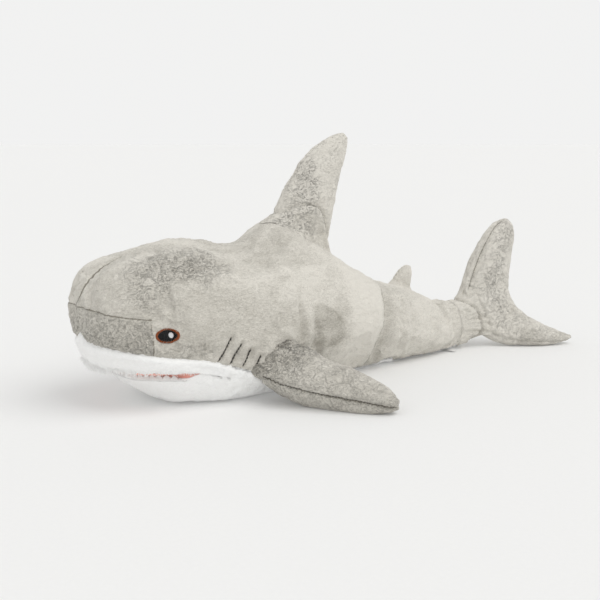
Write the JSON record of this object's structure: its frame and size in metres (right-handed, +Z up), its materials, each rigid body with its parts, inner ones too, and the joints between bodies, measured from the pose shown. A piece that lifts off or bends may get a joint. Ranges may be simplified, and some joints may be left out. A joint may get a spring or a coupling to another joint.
{
  "type": "plush shark",
  "caption": "Large stuffed plush shark lying on its belly, with a mouth that opens, a bending tail and soft fins that flex at their sewn roots.",
  "frame": {"origin": "on the floor under the middle of the belly, on the plane of symmetry", "axes": "+Y towards the tail, nose towards -Y, +X towards the shark's left flank, +Z up"},
  "size_m": [0.588, 0.9943, 0.421],
  "materials": {
    "gray_plush": "matte",
    "dark_plush": "matte",
    "white_plush": "matte",
    "pink_lining": "matte",
    "white_felt": "matte",
    "brown_thread": "matte",
    "black_thread": "matte",
    "white_thread": "matte",
    "gill_thread": "matte",
    "filling": "matte",
    "label_cloth": "matte"
  },
  "bodies": {
    "torso": {"back_panel_left": "gray_plush", "back_panel_right": "gray_plush", "snout_panel_left": "dark_plush", "snout_panel_right": "dark_plush", "upper_lip_panel": "white_plush", "belly_panel": "white_plush", "head_filling": "filling", "torso_filling": "filling", "mouth_roof_lining": "pink_lining", "upper_teeth": "white_felt", "eye_ring_left": "brown_thread", "eye_ring_right": "brown_thread", "pupil_left": "black_thread", "pupil_right": "black_thread", "eye_glint_left": "white_thread", "eye_glint_right": "white_thread", "gill_stitches_left": "gill_thread", "gill_stitches_right": "gill_thread"},
    "jaw": {"jaw_panel": "white_plush", "jaw_filling": "filling", "mouth_floor_lining": "pink_lining", "lower_teeth": "white_felt"},
    "rear_body": {"rear_panel_left": "gray_plush", "rear_panel_right": "gray_plush", "rear_belly_panel": "white_plush", "rear_filling": "filling", "care_label": "label_cloth"},
    "tail_fin": {"tail_fin_panel_left": "gray_plush", "tail_fin_panel_right": "gray_plush", "tail_fin_filling": "filling"},
    "dorsal_fin": {"dorsal_fin_panel_left": "gray_plush", "dorsal_fin_panel_right": "gray_plush", "dorsal_fin_filling": "filling"},
    "rear_dorsal_fin": {"rear_dorsal_fin_panel_left": "gray_plush", "rear_dorsal_fin_panel_right": "gray_plush"},
    "left_pectoral_fin": {"left_pectoral_top_panel": "dark_plush", "left_pectoral_bottom_panel": "dark_plush", "left_pectoral_filling": "filling"},
    "right_pectoral_fin": {"right_pectoral_top_panel": "dark_plush", "right_pectoral_bottom_panel": "dark_plush", "right_pectoral_filling": "filling"}
  },
  "joints": [
    {"name": "mouth_open", "type": "hinge", "parent": "torso", "child": "jaw", "pos_m": [0, -0.262, 0.058], "axis": [1, 0, 0], "range_deg": [0, 14], "stiffness_Nm_per_rad": 2},
    {"name": "body_bend", "type": "hinge", "parent": "torso", "child": "rear_body", "pos_m": [0, 0.148, 0.06], "axis": [0, 0, 1], "range_deg": [-20, 20], "stiffness_Nm_per_rad": 4},
    {"name": "tail_fin_swing", "type": "hinge", "parent": "rear_body", "child": "tail_fin", "pos_m": [0.005, 0.389, 0.061], "axis": [-0.1226, -0.4169, 0.9006], "range_deg": [-25, 25], "stiffness_Nm_per_rad": 1.5},
    {"name": "dorsal_fin_flop", "type": "hinge", "parent": "torso", "child": "dorsal_fin", "pos_m": [0, -0.066, 0.285], "axis": [0, 0.883, -0.4694], "range_deg": [-30, 30], "stiffness_Nm_per_rad": 0.8},
    {"name": "rear_dorsal_fin_flop", "type": "hinge", "parent": "rear_body", "child": "rear_dorsal_fin", "pos_m": [0, 0.193, 0.146], "axis": [0, 0.9262, -0.377], "range_deg": [-30, 30], "stiffness_Nm_per_rad": 0.1},
    {"name": "left_pectoral_fin_lift", "type": "hinge", "parent": "torso", "child": "left_pectoral_fin", "pos_m": [0.129, -0.182, 0.052], "axis": [-0.0409, -0.9576, -0.2852], "range_deg": [-15, 60], "stiffness_Nm_per_rad": 0.8},
    {"name": "right_pectoral_fin_lift", "type": "hinge", "parent": "torso", "child": "right_pectoral_fin", "pos_m": [-0.129, -0.182, 0.052], "axis": [-0.0409, 0.9576, 0.2852], "range_deg": [-15, 60], "stiffness_Nm_per_rad": 0.8}
  ]
}
